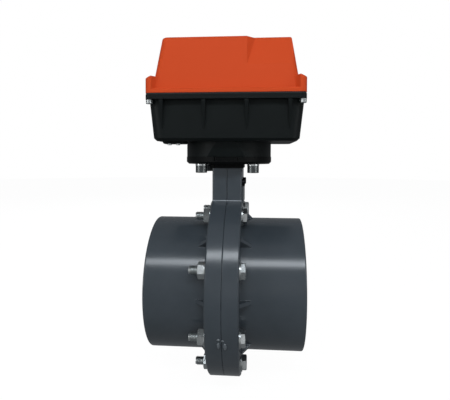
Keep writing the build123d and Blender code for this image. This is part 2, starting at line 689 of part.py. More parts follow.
def override_cap_screws():
    low = BASE_BOTTOM - CAP_PROUD
    screws = []
    for sx in (-1, 1):
        head = rod(2.8, low - 1.8, low)
        head = chamfer(head.edges().sort_by(Axis.Z)[0], 0.6)
        screw = head + rod(CAP_SCREW_R, low - 0.5, FLOOR_TOP - 2)
        screw -= hexagon(2.0, low - 3, low - 0.6)
        place = (OVERRIDE_AT[0] + sx * CAP_SCREW_SPREAD, OVERRIDE_AT[1] - CAP_SCREW_Y)
        screws.append(Pos(*place, 0) * screw)
    return group(screws)


# ---- Gears --------------------------------------------------------------------
def involute(angle):
    return math.tan(angle) - angle


def tooth_points(teeth, module):
    """One tooth on +X from root to root, its flanks as short straight facets."""
    pitch_r = teeth * module / 2
    base_r = pitch_r * math.cos(PRESSURE_ANGLE)
    tip_r = pitch_r + ADDENDUM * module
    root_r = pitch_r - DEDENDUM * module
    half_angle = math.pi / (2 * teeth) - BACKLASH * module / (2 * pitch_r)
    steps = 4
    flank = [(root_r, half_angle + involute(PRESSURE_ANGLE))]
    start = max(base_r, root_r)
    for number in range(steps + 1):
        radius = start + (tip_r - start) * number / steps
        turn = involute(math.acos(min(1.0, base_r / radius)))
        flank.append((radius, half_angle + involute(PRESSURE_ANGLE) - turn))
    if root_r >= base_r:
        flank = flank[1:]
    lower = [(r, -a) for r, a in flank]
    upper = [(r, a) for r, a in reversed(flank)]
    return lower + upper


def gear(teeth, module, low, face, phase):
    """Spur gear with one tooth at the given angle, in radians."""
    points = []
    for number in range(teeth):
        centre = phase + 2 * math.pi * number / teeth
        for radius, angle in tooth_points(teeth, module):
            points.append((radius * math.cos(centre + angle), radius * math.sin(centre + angle)))
    outline = make_face(Polyline(*points, close=True))
    return extrude(Pos(0, 0, low) * outline, face)


def meshing_phases(teeth_a, teeth_b, angle_from_a):
    """Phases of two gears in mesh: a tooth of the first points into a gap of the second."""
    gap = math.pi / teeth_b
    return angle_from_a, angle_from_a + math.pi + gap


OUTPUT_PHASE, INTERMEDIATE_PINION_PHASE = meshing_phases(
    OUTPUT_TEETH, PINION_TEETH, INTERMEDIATE_ANGLE)
INTERMEDIATE_PHASE, OVERRIDE_PINION_PHASE = meshing_phases(
    INTERMEDIATE_TEETH, PINION_TEETH, OVERRIDE_ANGLE)
OVERRIDE_PHASE, MOTOR_PHASE = meshing_phases(OVERRIDE_TEETH, PINION_TEETH, MOTOR_ANGLE)
KEY_SIZE = 5.0


def drive_key(grow=0.0):
    half = KEY_SIZE / 2 + grow
    inner = SLEEVE_NECK_R - KEY_SIZE / 2 - grow
    return block(inner, inner + KEY_SIZE + 2 * grow, -half, half,
                 GEAR_LOW - grow, GEAR_LOW + GEAR_FACE + grow)


def output_gear():
    wheel = gear(OUTPUT_TEETH, OUTPUT_MODULE, GEAR_LOW, GEAR_FACE, OUTPUT_PHASE)
    wheel -= rod(SLEEVE_NECK_R + SEAT_FIT, GEAR_LOW - 1, GEAR_LOW + GEAR_FACE + 1)
    wheel -= drive_key(SEAT_FIT)
    rim_r = OUTPUT_MODULE * (OUTPUT_TEETH / 2 - DEDENDUM) - 4.35
    hub_r = SLEEVE_NECK_R + KEY_SIZE / 2 + 3.5
    for number in range(6):
        x, y = step_from((0, 0), (rim_r + hub_r) / 2, math.radians(60 * number + 30))
        hole_r = (rim_r - hub_r) / 2
        wheel -= rod(hole_r, GEAR_LOW - 1, GEAR_LOW + GEAR_FACE + 1, x, y)
    return wheel


def drive_sleeve():
    """Turns the stem by its square end, and carries the output gear and the cams."""
    low = PLATE_TOP + 1.1
    sleeve = rod(SLEEVE_R, low, FLOOR_TOP + 2)
    sleeve += rod(SLEEVE_NECK_R, FLOOR_TOP + 1, GEAR_LOW + GEAR_FACE + 1.5)
    sleeve += rod(SPINDLE_R, GEAR_LOW + GEAR_FACE, COVER_TOP - COVER_WALL - 8)
    half = SQUARE_FLATS / 2 + SEAT_FIT
    top = PLATE_TOP + 2 + SQUARE_LENGTH + 1
    sleeve -= block(-half, half, -half, half, low + 1.4, top)
    sleeve -= rod(STEM_R + 0.3, low - 1, low + 1.5)
    return sleeve - drive_key(SEAT_FIT)


def output_bush():
    outer = SLEEVE_R + OUTPUT_BUSH_WALL
    return tube(outer, SLEEVE_R + RUN_FIT, PLATE_TOP + 3.6, FLOOR_TOP)


def output_seal():
    outer = SLEEVE_R + OUTPUT_BUSH_WALL
    return tube(outer - 0.1, SLEEVE_R + DISC_GAP, PLATE_TOP + 0.4, PLATE_TOP + 3.4)


def intermediate_gear():
    x, y = INTERMEDIATE_AT
    low = gear(PINION_TEETH, OUTPUT_MODULE, GEAR_LOW, GEAR_FACE + 2, INTERMEDIATE_PINION_PHASE)
    high = gear(INTERMEDIATE_TEETH, INTERMEDIATE_MODULE, WHEEL_LOW, WHEEL_FACE, INTERMEDIATE_PHASE)
    hub = rod(7.0, FLOOR_TOP + 0.5, GEARBOX_LID_LOW - 0.5)
    both = low + high + hub
    both -= rod(GEAR_SHAFT_R + RUN_FIT, FLOOR_TOP - 1, GEARBOX_LID_LOW + 1)
    return Pos(x, y, 0) * both


def intermediate_pin():
    return rod(GEAR_SHAFT_R, FLOOR_TOP - 3.8, GEARBOX_LID_TOP - 0.3, *INTERMEDIATE_AT)


def override_gear():
    """Stepped gear between the motor and the train, driven by hand from below too."""
    x, y = OVERRIDE_AT
    low = gear(PINION_TEETH, INTERMEDIATE_MODULE, WHEEL_LOW, WHEEL_FACE + 2, OVERRIDE_PINION_PHASE)
    high = gear(OVERRIDE_TEETH, MOTOR_MODULE, MOTOR_STAGE_LOW, MOTOR_STAGE_FACE, OVERRIDE_PHASE)
    both = low + high - rod(GEAR_SHAFT_R + SEAT_FIT, WHEEL_LOW - 1, GEARBOX_LID_LOW)
    return Pos(x, y, 0) * both


def override_shaft():
    shaft = rod(GEAR_SHAFT_R, BASE_BOTTOM + 0.3, GEARBOX_LID_TOP - 0.4)
    shaft -= hexagon(4.0, BASE_BOTTOM - 1, BASE_BOTTOM + 4)
    return Pos(*OVERRIDE_AT, 0) * shaft


MOTOR_R = 24.0
MOTOR_HEIGHT = 58.0
MOTOR_SHAFT_R = 2.5
MOTOR_SCREW_SPREAD = 17.0
MOTOR_SCREW_ANGLE = math.radians(-20.0)


def motor_screw_places():
    for side in (-1, 1):
        yield step_from(MOTOR_AT, side * MOTOR_SCREW_SPREAD, MOTOR_SCREW_ANGLE)


def motor_body():
    top = GEARBOX_LID_TOP + MOTOR_HEIGHT
    can = rod(MOTOR_R, GEARBOX_LID_TOP, top, *MOTOR_AT)
    can = chamfer(can.edges().sort_by(Axis.Z)[-1], 2.0)
    can -= rod(MOTOR_SHAFT_R + RUN_FIT, GEARBOX_LID_TOP - 1, GEARBOX_LID_TOP + 14, *MOTOR_AT)
    for place in motor_screw_places():
        can -= rod(2.0 + SEAT_FIT, GEARBOX_LID_TOP - 1, GEARBOX_LID_TOP + 9, *place)
    return can


def motor_pinion():
    wheel = gear(PINION_TEETH, MOTOR_MODULE, MOTOR_STAGE_LOW, MOTOR_STAGE_FACE, MOTOR_PHASE)
    wheel += rod(MOTOR_SHAFT_R, MOTOR_STAGE_LOW, GEARBOX_LID_TOP + 12)
    return Pos(*MOTOR_AT, 0) * wheel


def motor_screws():
    screws = []
    for place in motor_screw_places():
        screw = rod(3.5, GEARBOX_LID_LOW - 2.6, GEARBOX_LID_LOW)
        screw += rod(2.0, GEARBOX_LID_LOW - 1, GEARBOX_LID_TOP + 8)
        screws.append(Pos(*place, 0) * screw)
    return group(screws)


def gearbox_lid():
    lid = rounded_block(60.5, 57.5, 8, GEARBOX_LID_LOW, GEARBOX_LID_TOP, -28.0, -5.0)
    lid -= rod(SPINDLE_R + 3 + SEAT_FIT, GEARBOX_LID_LOW - 1, GEARBOX_LID_TOP + 1)
    low, high = GEARBOX_LID_LOW - 1, GEARBOX_LID_TOP + 1
    lid -= rod(GEAR_SHAFT_R + SEAT_FIT, low, high, *INTERMEDIATE_AT)
    lid -= rod(GEAR_SHAFT_R + RUN_FIT, low, high, *OVERRIDE_AT)
    lid -= rod(8.0, low, high, *MOTOR_AT)
    for place in motor_screw_places():
        lid -= rod(2.3, low, high, *place)
    for place in PILLARS:
        lid -= rod(2.3, low, high, *place)
    return lid


def lid_bush():
    return tube(SPINDLE_R + 3, SPINDLE_R + RUN_FIT, GEARBOX_LID_LOW - 1, GEARBOX_LID_TOP + 1)


def lid_pillars():
    return group(
        rod(PILLAR_R, FLOOR_TOP, GEARBOX_LID_LOW, *place)
        - rod(2.0 + SEAT_FIT, GEARBOX_LID_LOW - 10, GEARBOX_LID_LOW + 1, *place)
        for place in PILLARS)


def lid_screws():
    return group(
        rod(3.5, GEARBOX_LID_TOP, GEARBOX_LID_TOP + 2.6, *place)
        + rod(2.0, GEARBOX_LID_LOW - 8, GEARBOX_LID_TOP + 1, *place)
        for place in PILLARS)


# ---- Cams, switches and indicator ---------------------------------------------
CAM_R = 14.0
CAM_LOBE_R = 19.7
CAM_THICK = 6.0
CAM_HEIGHTS = (GEARBOX_LID_TOP + 11, GEARBOX_LID_TOP + 21)
ROLLER_FACE = CAM_LOBE_R + DISC_GAP
SWITCH_X = ROLLER_FACE + 6.0


def travel_cam(low, angle):
    cam = rod(CAM_R, low, low + CAM_THICK)
    lobe = Pos(0, 0, low) * Rot(0, 0, angle) * extrude(
        make_face([Line((0, 0), (CAM_LOBE_R, 0)),
                   CenterArc((0, 0), CAM_LOBE_R, 0, 60),
                   Line(step_from((0, 0), CAM_LOBE_R, math.radians(60)), (0, 0))]), CAM_THICK)
    cam += lobe
    return cam - rod(SPINDLE_R + SEAT_FIT, low - 1, low + CAM_THICK + 1)


def limit_switches():
    """Two snap switches, each with a lever and roller facing its cam."""
    switches = []
    for low in CAM_HEIGHTS:
        case = block(SWITCH_X, SWITCH_X + 11, -10, 10, low - 0.5, low + 6.5)
        case -= Pos(SWITCH_X + 7, -5, 0) * rod(1.2, low - 2, low + 8)
        case -= Pos(SWITCH_X + 7, 5, 0) * rod(1.2, low - 2, low + 8)
        switches.append(case)
    return group(switches)


def switch_levers():
    levers = []
    for low in CAM_HEIGHTS:
        strip = block(SWITCH_X - 1.6, SWITCH_X - 1.1, -9, 3, low + 1, low + 5)
        strip += block(SWITCH_X - 1.6, SWITCH_X, -9, -7.5, low + 1, low + 5)
        strip += rod(2.0, low + 1, low + 5, ROLLER_FACE + 2.0, 2.0)
        strip += block(ROLLER_FACE + 2, SWITCH_X - 1.1, 1.2, 2.8, low + 1, low + 5)
        levers.append(strip)
    return group(levers)


def switch_bracket():
    back = SWITCH_X + 11
    top = CAM_HEIGHTS[-1] + 8
    plate = block(back, back + 2, -12, 12, GEARBOX_LID_TOP, top)
    return plate + block(back - 14, back + 2, -12, 12, GEARBOX_LID_TOP, GEARBOX_LID_TOP + 2)


def indicator_disc():
    low = COVER_TOP - COVER_WALL - 6
    dial = rod(WINDOW_R - 3, low, low + 2) + rod(SPINDLE_R + 3, low - 6, low + 1)
    return dial - rod(SPINDLE_R + SEAT_FIT, low - 7, COVER_TOP - COVER_WALL - 7.9)


# ---- Electrics ----------------------------------------------------------------
def control_board():
    board = rounded_block(21, 54, 2, BOARD_Z, BOARD_Z + 1.6, BOARD_X, 0)
    for x, y in corners(BOARD_SPREAD_X, BOARD_SPREAD_Y):
        board -= rod(1.7, BOARD_Z - 1, BOARD_Z + 3, BOARD_X + x, y)
    return board


def board_pillars():
    return group(
        rod(3.0, FLOOR_TOP, BOARD_Z, BOARD_X + x, y)
        for x, y in corners(BOARD_SPREAD_X, BOARD_SPREAD_Y))


def terminal_block():
    low = BOARD_Z + 1.6
    strip = block(BOARD_X - 16, BOARD_X + 16, 27, 43, low, low + 14)
    for number in range(6):
        x = BOARD_X - 13 + 5.2 * number
        strip -= rod(1.8, low + 8, low + 15, x, 39)
        strip -= block(x - 1.6, x + 1.6, 26, 34, low + 2, low + 6)
    return strip


CAPACITOR_R = 13.0
CAPACITOR_Y = 36.0
CAPACITOR_Z = GEARBOX_LID_TOP + CAPACITOR_R + 2.0


def capacitor():
    can = along_x(rod(CAPACITOR_R, -72, -24), CAPACITOR_Y, CAPACITOR_Z)
    return fillet(can.edges().filter_by(GeomType.CIRCLE), 1.5)


def capacitor_clip():
    band = along_x(
        tube(CAPACITOR_R + 1.2, CAPACITOR_R + SEAT_FIT, -52, -42), CAPACITOR_Y, CAPACITOR_Z)
    foot = block(-52, -42, CAPACITOR_Y - 18, CAPACITOR_Y + 18, GEARBOX_LID_TOP,
                 GEARBOX_LID_TOP + 1.2)
    return band + foot


# ---- Cable entry --------------------------------------------------------------
GLAND_STUB_R = GLAND_R - 0.1
CABLE_R = 4.5
GLAND_OUT = BASE_HALF_Y


def gland_body():
    inner = BASE_HALF_Y - BASE_WALL - 6.5
    body = rod(GLAND_STUB_R, inner, GLAND_OUT + 1)
    body += hexagon(24.0, GLAND_OUT, GLAND_OUT + 5)
    body += rod(9.0, GLAND_OUT + 4, GLAND_OUT + 15)
    body -= rod(7.3, inner - 1, GLAND_OUT + 16)
    return along_y(body, GLAND_X, GLAND_Z)


def gland_seal():
    low = GLAND_OUT + 3
    seal = tube(7.2, CABLE_R, low, GLAND_OUT + 17)
    return along_y(seal, GLAND_X, GLAND_Z)


def gland_cap():
    low = GLAND_OUT + 5.4
    cap = hexagon(22.0, low, low + 12)
    cap += rod(9.6, low + 11, low + 16)
    cap = chamfer(cap.edges().sort_by(Axis.Z)[-1], 2.0)
    cap -= rod(9.0 + SEAT_FIT, low - 1, GLAND_OUT + 15.2)
    cap -= rod(7.2 + SEAT_FIT, low - 1, GLAND_OUT + 17.2)
    cap -= rod(6.0, low - 1, low + 17)
    return along_y(cap, GLAND_X, GLAND_Z)


def gland_locknuts():
    inner = BASE_HALF_Y - BASE_WALL
    nut = hexagon(24.0, inner - 5, inner) - rod(GLAND_STUB_R + SEAT_FIT, inner - 6, inner + 1)
    return group(along_y(nut, x, GLAND_Z) for x in (GLAND_X, PLUG_X))


def blanking_plug():
    inner = BASE_HALF_Y - BASE_WALL - 6.5
    plug = rod(GLAND_STUB_R, inner, GLAND_OUT + 1)
    head = hexagon(24.0, GLAND_OUT, GLAND_OUT + 6)
    head = chamfer(head.faces().sort_by(Axis.Z)[-1].edges(), 1.0)
    return along_y(plug + head, PLUG_X, GLAND_Z)


# ---- All the pieces -----------------------------------------------------------
def pieces():
    inlet, outlet = body_halves(whole_body())
    yield "inlet_body_half", inlet
    yield "outlet_body_half", outlet
    yield "seat_liner", seat_liner()
    yield "disc", disc()
    yield "disc_pins", disc_pins()
    yield "stem", stem()
    yield "upper_stem_bush", grooved_bush(UPPER_BUSH_LOW, UPPER_BUSH_HIGH, UPPER_SEALS)
    yield "lower_stem_bush", grooved_bush(
        LOWER_BUSH_LOW, LOWER_BUSH_LOW + LOWER_BUSH_LENGTH, [LOWER_SEAL])
    yield "stem_seals", stem_seals()
    yield "stem_thrust_washer", thrust_washer()
    face = RING_HALF
    yield "body_bolts", group(ring_of(body_bolt(), 17.0))
    yield "body_nuts", group(ring_of(body_nut(), 23.0))
    yield "head_washers", group(ring_of(washer(face, face + WASHER_THICK)))
    yield "nut_washers", group(ring_of(washer(-face - WASHER_THICK, -face)))
    yield "neck_screws", neck_screws()
    yield "mounting_plate", mounting_plate()
    yield "plate_screws", group(
        Pos(x, y, 0) * plate_screw() for x, y in corners(PLATE_SCREW_X, PLATE_SCREW_Y))
    yield "flange_screws", at_flange_holes(flange_screw())
    yield "flange_spring_washers", at_flange_holes(spring_washer())
    yield "actuator_base", actuator_base()
    yield "cover_gasket", cover_gasket()
    yield "actuator_cover", actuator_cover()
    yield "cover_screws", group(
        Pos(x, y, 0) * cover_screw() for x, y in corners(COVER_SCREW_X, COVER_SCREW_Y))
    yield "position_window", position_window()
    yield "override_cap", override_cap()
    yield "override_cap_screws", override_cap_screws()
    yield "drive_sleeve", drive_sleeve()
    yield "drive_key", drive_key()
    yield "output_gear", output_gear()
    yield "output_bush", output_bush()
    yield "output_seal", output_seal()
    yield "intermediate_gear", intermediate_gear()
    yield "intermediate_pin", intermediate_pin()
    yield "override_gear", override_gear()
    yield "override_shaft", override_shaft()
    yield "motor_body", motor_body()
    yield "motor_pinion", motor_pinion()
    yield "motor_screws", motor_screws()
    yield "gearbox_lid", gearbox_lid()
    yield "lid_bush", lid_bush()
    yield "lid_pillars", lid_pillars()
    yield "lid_screws", lid_screws()
    yield "closed_cam", travel_cam(CAM_HEIGHTS[0], -30)
    yield "open_cam", travel_cam(CAM_HEIGHTS[1], -120)
    yield "limit_switches", limit_switches()
    yield "switch_levers", switch_levers()
    yield "switch_bracket", switch_bracket()
    yield "indicator_disc", indicator_disc()
    yield "control_board", control_board()
    yield "board_pillars", board_pillars()
    yield "terminal_block", terminal_block()
    yield "capacitor", capacitor()
    yield "capacitor_clip", capacitor_clip()
    yield "gland_body", gland_body()
    yield "gland_seal", gland_seal()
    yield "gland_cap", gland_cap()
    yield "gland_locknuts", gland_locknuts()
    yield "blanking_plug", blanking_plug()


os.makedirs("parts", exist_ok=True)
for name, shape in pieces():
    export_step(shape, f"parts/{name}.step")
    print(name)
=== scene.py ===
# %% [markdown]
# # A motor-driven butterfly valve
# The real valve is two grey PVC-U mouldings bolted face to face, with a black and orange
# actuator standing on their neck. The engineering model already holds every part at its
# true size and place, so this notebook only dresses it. It gives each part the finish of
# its real material, and it swaps the plain fasteners for ones with threads, knurls and
# chamfers. Everything is in metres, in the engineering model's own frame: X runs along
# the pipe, Z up the stem, and Y to the rear.

# %% Open the engineering model
import json
import math

import bmesh
import bpy
from mathutils import Matrix, Vector

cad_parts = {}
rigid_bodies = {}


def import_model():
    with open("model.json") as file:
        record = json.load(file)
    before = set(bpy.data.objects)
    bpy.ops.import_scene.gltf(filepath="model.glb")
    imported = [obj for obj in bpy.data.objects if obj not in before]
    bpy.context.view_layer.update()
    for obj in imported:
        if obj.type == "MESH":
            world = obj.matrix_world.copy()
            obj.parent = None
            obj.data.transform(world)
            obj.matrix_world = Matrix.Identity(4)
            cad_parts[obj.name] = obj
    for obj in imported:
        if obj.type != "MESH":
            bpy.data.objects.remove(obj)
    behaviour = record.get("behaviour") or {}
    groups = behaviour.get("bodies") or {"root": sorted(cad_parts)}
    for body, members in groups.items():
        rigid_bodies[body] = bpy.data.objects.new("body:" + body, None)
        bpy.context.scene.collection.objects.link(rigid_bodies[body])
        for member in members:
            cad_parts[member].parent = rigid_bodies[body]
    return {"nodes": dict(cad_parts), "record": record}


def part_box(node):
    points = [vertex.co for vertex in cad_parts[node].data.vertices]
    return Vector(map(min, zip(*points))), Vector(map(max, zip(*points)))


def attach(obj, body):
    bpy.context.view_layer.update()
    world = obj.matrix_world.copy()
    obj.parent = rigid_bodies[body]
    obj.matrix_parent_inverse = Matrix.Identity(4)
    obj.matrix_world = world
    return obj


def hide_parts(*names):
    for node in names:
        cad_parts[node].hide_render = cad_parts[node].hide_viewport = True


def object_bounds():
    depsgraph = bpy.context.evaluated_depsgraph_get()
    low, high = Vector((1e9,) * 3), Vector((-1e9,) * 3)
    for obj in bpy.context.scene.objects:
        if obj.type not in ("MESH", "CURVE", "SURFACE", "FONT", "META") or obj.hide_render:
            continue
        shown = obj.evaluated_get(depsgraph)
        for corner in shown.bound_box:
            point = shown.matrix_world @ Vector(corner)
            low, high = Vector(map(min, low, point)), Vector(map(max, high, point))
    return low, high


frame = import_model()
cad_low, cad_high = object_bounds()
nodes = frame["nodes"]
scene = bpy.context.scene
MM = 0.001
print("parts:", len(nodes), "size in mm:", [round(s / MM) for s in cad_high - cad_low])

# %% [markdown]
# ## The camera
# A valve like this is best seen side-on to the pipe, from a little above the pipe axis,
# so that the face-to-face length and the height both show. The camera stands about
# 0.6 m away and looks very slightly down and to the left. A small downward lens shift
# frames the whole valve while the camera stays nearly level, so its verticals stay true.

# %% Place the camera
CAMERA_AT = (0.0432, -0.6102, 0.1836)
# The three turns are in degrees.
LOOK_DOWN = 2.16
LOOK_LEFT = 4.60
TILT = -0.17
camera = bpy.data.objects.new("camera", bpy.data.cameras.new("camera"))
camera.location = CAMERA_AT
camera.rotation_euler = [math.radians(a) for a in (90 - LOOK_DOWN, TILT, LOOK_LEFT)]
camera.data.lens = 33.06
camera.data.sensor_width = 36
camera.data.shift_y = -0.06
camera.data.clip_start = 0.01
scene.collection.objects.link(camera)
scene.camera = camera
print("lens:", camera.data.lens, "mm")

# %% [markdown]
# ## The studio
# The valve stands in a plain white tent: a pale floor, and round it a large white shell,
# so that every viewing angle has the same background. Both glow by themselves. Neither
# lights the valve or shows in its reflections, so they are white while the black housing
# stays black. One long softbox hangs high in front. Its reflection is the bright band
# along the round sockets, so its height decides where that band lies: a cylinder facing
# the camera mirrors a lamp about 45 degrees up at a third of the way down from its top.
# Two weaker panels lift the sides, and panels in front and behind fill the shadows
# without a reflection.

# %% Floor, shell and lights
SHELL_R = 6.0
FLOOR_GAP = 0.2 * MM
AIR_TINT = (0.92, 0.96, 1, 1)
AIR_GLOW = 0.2
VALVE_MIDDLE = (0, 0, 0.1)


def stage_piece(name, bm, glow, shade):
    """A matt piece of the studio that glows and lights nothing."""
    piece = bpy.data.objects.new(name, bpy.data.meshes.new(name))
    bm.to_mesh(piece.data)
    bm.free()
    material = bpy.data.materials.new(name)
    material.use_nodes = True
    shader = material.node_tree.nodes["Principled BSDF"]
    shader.inputs["Base Color"].default_value = (shade, shade, shade, 1)
    shader.inputs["Roughness"].default_value = 0.9
    shader.inputs["Specular IOR Level"].default_value = 0.0
    shader.inputs["Emission Color"].default_value = (1, 1, 1, 1)
    shader.inputs["Emission Strength"].default_value = glow
    piece.data.materials.append(material)
    piece.visible_diffuse = False
    piece.visible_glossy = False
    scene.collection.objects.link(piece)
    return piece


def softbox(name, place, aim, width, height, power, tint=(1, 1, 1)):
    """A flat rectangular lamp, sizes in metres and power in watts."""
    light = bpy.data.lights.new(name, "AREA")
    light.shape = "RECTANGLE"
    light.size = width
    light.size_y = height
    light.energy = power
    light.color = tint
    holder = bpy.data.objects.new(name, light)
    holder.location = place
    holder.rotation_euler = (Vector(aim) - Vector(place)).to_track_quat("-Z", "Y").to_euler()
    scene.collection.objects.link(holder)
    return holder


bm = bmesh.new()
bmesh.ops.create_circle(bm, cap_ends=True, segments=96, radius=SHELL_R)
bmesh.ops.translate(bm, vec=(0, 0, cad_low.z - FLOOR_GAP), verts=bm.verts)
stage_piece("floor", bm, glow=0.97, shade=0.06)
bm = bmesh.new()
bmesh.ops.create_uvsphere(bm, u_segments=48, v_segments=24, radius=SHELL_R)
shell = stage_piece("white_shell", bm, glow=1.0, shade=0.0)
shell.visible_shadow = False

scene.world = bpy.data.worlds.new("studio_air")
scene.world.use_nodes = True
air = scene.world.node_tree.nodes["Background"]
air.inputs["Color"].default_value = AIR_TINT
air.inputs["Strength"].default_value = AIR_GLOW

softbox("key_softbox", (0.1, -1.16, 1.18), (0, 0, 0.05), width=1.5, height=0.26, power=11.5,
        tint=(0.88, 0.94, 1))
softbox("left_panel", (-1.3, -1.0, 0.45), VALVE_MIDDLE, width=0.5, height=0.9, power=5.5)
front = softbox("front_fill", (0.2, -2.2, 0.35), VALVE_MIDDLE, width=1.6, height=1.0, power=14)
back = softbox("back_fill", (-0.5, 2.0, 1.4), VALVE_MIDDLE, width=1.6, height=1.0, power=14)
for fill in (front, back):
    fill.visible_glossy = False
softbox("right_panel", (1.35, -0.7, 0.35), VALVE_MIDDLE, width=0.5, height=0.9, power=3.5)
scene.view_settings.view_transform = "Standard"

# %% [markdown]
# ## One way to write a finish
# Every finish below starts from one Principled shader. Colours are given as they look on
# a screen, as sRGB hex values, and one function turns them into the linear numbers that
# the shader needs. One more function adds any shader node with its settings and links.
# Patterns read Object coordinates, which are the part's own metres, so that a grain of
# half a millimetre can be asked for as exactly that.

# %% Colour, node and finish helpers
def linear(hex_value):
    """Turns an sRGB hex value such as C94A24 into linear red, green and blue."""
    shares = [int(hex_value[i:i + 2], 16) / 255 for i in (0, 2, 4)]
    return tuple(((s + 0.055) / 1.055) ** 2.4 if s > 0.04045 else s / 12.92 for s in shares)


def add_node(material, kind, inputs=None, **settings):
    """Adds one node; each input is a plain value, or an output socket to link."""
    made = material.node_tree.nodes.new(kind)
    for name, value in settings.items():
        setattr(made, name, value)
    for name, value in (inputs or {}).items():
        if isinstance(value, bpy.types.NodeSocket):
            material.node_tree.links.new(value, made.inputs[name])
        else:
            made.inputs[name].default_value = value
    return made


def finish(name, **sockets):
    """A new material, its Principled shader's sockets set straight away."""
    material = bpy.data.materials.new(name)
    material.use_nodes = True
    shader = material.node_tree.nodes["Principled BSDF"]
    for socket, value in sockets.items():
        shader.inputs[socket.replace("_", " ")].default_value = value
    return material, shader


def per_mm(size):
    """Noise scale for blotches of about this size in millimetres."""
    return 1 / (size * MM)


# A colour Mix node's two colours and its result are found by number.
MIX_A, MIX_B, MIX_RESULT = 6, 7, 2
# Most values of a noise lie between these two.
NOISE_LOW, NOISE_HIGH = 0.3, 0.7
print("linear value of C94A24:", [round(v, 3) for v in linear("C94A24")])

# %% [markdown]
# ## Moulded plastic
# PVC-U, ABS and nylon mouldings all owe their look to the steel mould. The colour is
# dyed through, so it is even, with only faint clouding where the melt flowed, and the
# surface has a fine texture from the mould. One function makes all of them from a colour,
# the sizes of cloud and grain, and how matt the mould was. One soft noise moves the
# colour and the roughness together, and a finer one is the grain, as bump. No moulded
# edge is perfectly sharp, so a Bevel node rounds every edge, by half a millimetre unless
# the finish says otherwise, in the shading alone. The turned acetal and the rubber are
# as even to look at, so they use the same function.

# %% The moulded plastic finish
def moulded(name, light, dark, cloud_mm, grain_mm, grain_depth, roughness, spread,
            ior=1.5, edge_mm=0.5, gloss=0.5):
    """Roughness wanders by spread; grain_depth is in millimetres; gloss scales the shine."""
    material, shader = finish(name, **{"IOR": ior, "Specular IOR Level": gloss})
    place = add_node(material, "ShaderNodeTexCoord").outputs["Object"]
    cloud = add_node(material, "ShaderNodeTexNoise", {
        "Vector": place, "Scale": per_mm(cloud_mm), "Detail": 5.0, "Roughness": 0.6})
    tone = add_node(material, "ShaderNodeMix", {
        "Factor": cloud.outputs["Fac"], MIX_A: (*linear(dark), 1), MIX_B: (*linear(light), 1)},
        data_type="RGBA")
    dull = add_node(material, "ShaderNodeMapRange", {
        "Value": cloud.outputs["Fac"], "From Min": NOISE_LOW, "From Max": NOISE_HIGH,
        "To Min": roughness - spread, "To Max": roughness + spread})
    grain = add_node(material, "ShaderNodeTexNoise", {
        "Vector": place, "Scale": per_mm(grain_mm), "Detail": 3.0, "Roughness": 0.7})
    edge = add_node(material, "ShaderNodeBevel", {"Radius": edge_mm * MM}, samples=6)
    bump = add_node(material, "ShaderNodeBump", {
        "Height": grain.outputs["Fac"], "Strength": 0.5, "Distance": grain_depth * MM,
        "Normal": edge.outputs["Normal"]})
    links = material.node_tree.links
    links.new(tone.outputs[MIX_RESULT], shader.inputs["Base Color"])
    links.new(dull.outputs["Result"], shader.inputs["Roughness"])
    links.new(bump.outputs["Normal"], shader.inputs["Normal"])
    return material


# The pipe plastic: a dark blue-grey with a soft shine.
pvc_grey = moulded(
    "pvc_u_injection_moulded_grey", "42484E", "333A3F", cloud_mm=55, grain_mm=0.9,
    grain_depth=0.02, roughness=0.2, spread=0.03, ior=1.53, edge_mm=1.2)
# The mould bosses and the shoulder bead are drawn paler than the body: the paler grey is a
# painted highlight where they catch the light.
pvc_boss_painted_highlight = moulded(
    "pvc_u_boss_painted_highlight_grey", "5E6469", "50565B", cloud_mm=8, grain_mm=0.5, grain_depth=0.01,
    roughness=0.28, spread=0.03, ior=1.53, edge_mm=0.2)
pvc_bead_painted_highlight = moulded(
    "pvc_u_bead_painted_highlight", "8C9298", "7B8187", cloud_mm=8, grain_mm=0.5, grain_depth=0.01,
    roughness=0.3, spread=0.03, ior=1.53, edge_mm=0.2)
# The cover is an even orange that hardly mirrors anything.
abs_orange = moulded(
    "abs_moulded_orange", "C94A24", "C34620", cloud_mm=90, grain_mm=0.7, grain_depth=0.03,
    roughness=0.52, spread=0.03, edge_mm=1.0, gloss=0.06)
# Glass-filled nylon is near black, and its fibres leave it satin.
pa_black = moulded(
    "glass_filled_nylon_moulded_black", "101515", "0B0F0F", cloud_mm=40, grain_mm=0.6,
    grain_depth=0.05, roughness=0.5, spread=0.05, gloss=0.15)
pa_plate = moulded(
    "glass_filled_nylon_plate_black", "0E1010", "080909", cloud_mm=25, grain_mm=0.8,
    grain_depth=0.06, roughness=0.46, spread=0.06, gloss=0.08)
# The small inner parts, from hard white acetal to soft black rubber.
pom_white = moulded(
    "acetal_turned_white", "E4E1D8", "D8D5CB", cloud_mm=30, grain_mm=0.5, grain_depth=0.02,
    roughness=0.35, spread=0.04)
abs_small_black = moulded(
    "abs_moulded_black_small_parts", "2A2C2E", "232527", cloud_mm=12, grain_mm=0.4,
    grain_depth=0.02, roughness=0.4, spread=0.05)
nylon_natural = moulded(
    "nylon_moulded_natural", "DAD5C4", "CEC8B6", cloud_mm=15, grain_mm=0.4, grain_depth=0.02,
    roughness=0.4, spread=0.05)
dial_yellow = moulded(
    "abs_moulded_yellow_dial", "E3A81C", "D69C16", cloud_mm=20, grain_mm=0.4, grain_depth=0.01,
    roughness=0.35, spread=0.04)
epdm_black = moulded(
    "epdm_rubber_moulded_black", "1D1D1E", "161617", cloud_mm=12, grain_mm=0.5, grain_depth=0.03,
    roughness=0.62, spread=0.06)
print("plastics:", [m.name for m in bpy.data.materials if "moulded" in m.name])

